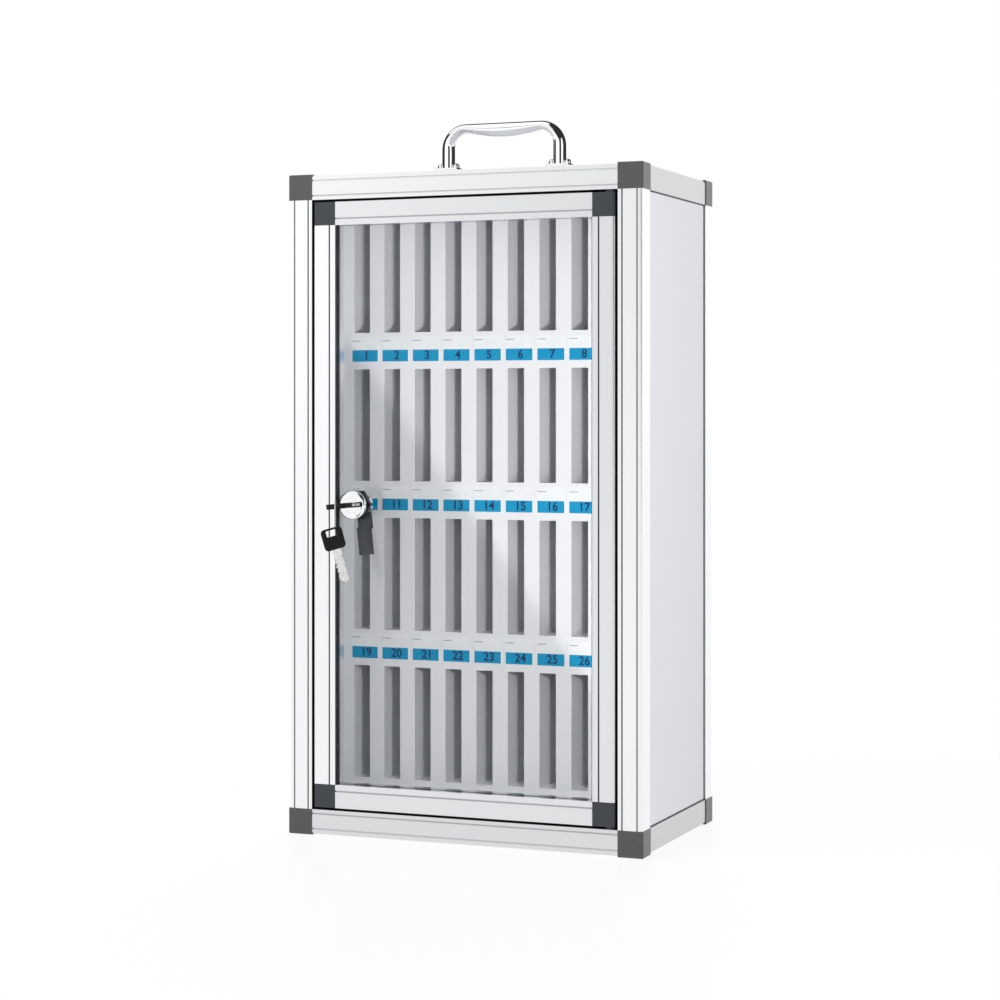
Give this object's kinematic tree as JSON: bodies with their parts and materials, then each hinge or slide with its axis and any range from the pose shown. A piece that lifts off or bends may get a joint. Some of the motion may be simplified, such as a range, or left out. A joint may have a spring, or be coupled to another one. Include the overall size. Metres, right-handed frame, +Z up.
{
  "type": "cell phone locker box",
  "caption": "Free-standing phone storage box with a numbered slot rack behind a glazed, locked door and a carrying handle on top.",
  "frame": {"origin": "middle of the footprint, on the surface that the box stands on", "axes": "+X to the right seen from the front, +Y from the front to the back, +Z up"},
  "size_m": [0.295, 0.2207, 0.565],
  "materials": {
    "profile": "satin anodised extrusion",
    "door_profile": "satin anodised extrusion",
    "corner_plastic": "dark grey moulded",
    "door_corner_plastic": "blue-black moulded",
    "panel": "white sheet, satin",
    "glazing": "clear, polished",
    "seal_rubber": "black",
    "pin_steel": "zinc plated",
    "bush_plastic": "black",
    "chrome": "polished",
    "riser": "pale grey moulded",
    "screw_chrome": "polished",
    "key_plastic": "black moulded",
    "key_nickel": "nickel plated",
    "rack": "pale grey sheet",
    "label_card": "printed card"
  },
  "bodies": {
    "cabinet": {"front_post_left": "profile", "front_post_right": "profile", "rear_post_left": "profile", "rear_post_right": "profile", "front_rail_top": "profile", "front_rail_bottom": "profile", "rear_rail_top": "profile", "rear_rail_bottom": "profile", "side_rail_top_left": "profile", "side_rail_top_right": "profile", "side_rail_bottom_left": "profile", "side_rail_bottom_right": "profile", "corner_blocks_top": "corner_plastic", "corner_blocks_bottom": "corner_plastic", "side_panel_left": "panel", "side_panel_right": "panel", "back_panel": "panel", "top_panel": "panel", "bottom_panel": "panel", "pivot_pins": "pin_steel", "door_stops": "profile", "door_seal": "seal_rubber", "handle_bow": "chrome", "handle_risers": "riser", "handle_backing_plate": "pin_steel", "handle_screws": "screw_chrome", "handle_nuts": "pin_steel", "rack_end_left": "rack", "rack_end_right": "rack", "shelf_1": "rack", "shelf_2": "rack", "shelf_3": "rack", "shelf_4": "rack", "rack_top_board": "rack", "dividers_1": "rack", "dividers_2": "rack", "dividers_3": "rack", "dividers_4": "rack", "number_labels": "label_card"},
    "door": {"door_stile_hinge": "door_profile", "door_stile_lock": "door_profile", "door_rail_top": "door_profile", "door_rail_bottom": "door_profile", "door_corners_hinge_side": "door_corner_plastic", "door_corners_lock_side": "door_corner_plastic", "door_pane": "glazing", "pane_gaskets": "seal_rubber", "pivot_bushes": "bush_plastic", "lock_body": "chrome", "lock_washer": "bush_plastic", "lock_nut": "pin_steel"},
    "plug": {"lock_plug": "chrome", "lock_cam": "pin_steel", "lock_cam_nut": "pin_steel"},
    "key": {"key_head": "key_plastic", "key_blade": "key_nickel"},
    "ring": {"key_ring": "chrome"},
    "spare_key": {"spare_key_head": "key_plastic", "spare_key_blade": "key_nickel"}
  },
  "joints": [
    {"name": "door_swing", "type": "hinge", "parent": "cabinet", "child": "door", "pos_m": [0.1203, -0.0834, 0.26], "axis": [0, 0, 1], "range_deg": [0, 105]},
    {"name": "lock_turn", "type": "hinge", "parent": "door", "child": "plug", "pos_m": [-0.0934, -0.0834, 0.26], "axis": [0, 1, 0], "range_deg": [0, 90]},
    {"name": "key_pull", "type": "slide", "parent": "plug", "child": "key", "axis": [0, -1, 0], "range_m": [0, 0.013]},
    {"name": "ring_swing", "type": "hinge", "parent": "key", "child": "ring", "pos_m": [-0.09519, -0.11285, 0.25981], "axis": [-0.4384, 0.8988, 0], "range_deg": [-15, 15]},
    {"name": "spare_swing", "type": "hinge", "parent": "ring", "child": "spare_key", "pos_m": [-0.09117, -0.1211, 0.24219], "axis": [-0.4384, 0.8988, 0], "range_deg": [-60, 60]}
  ]
}
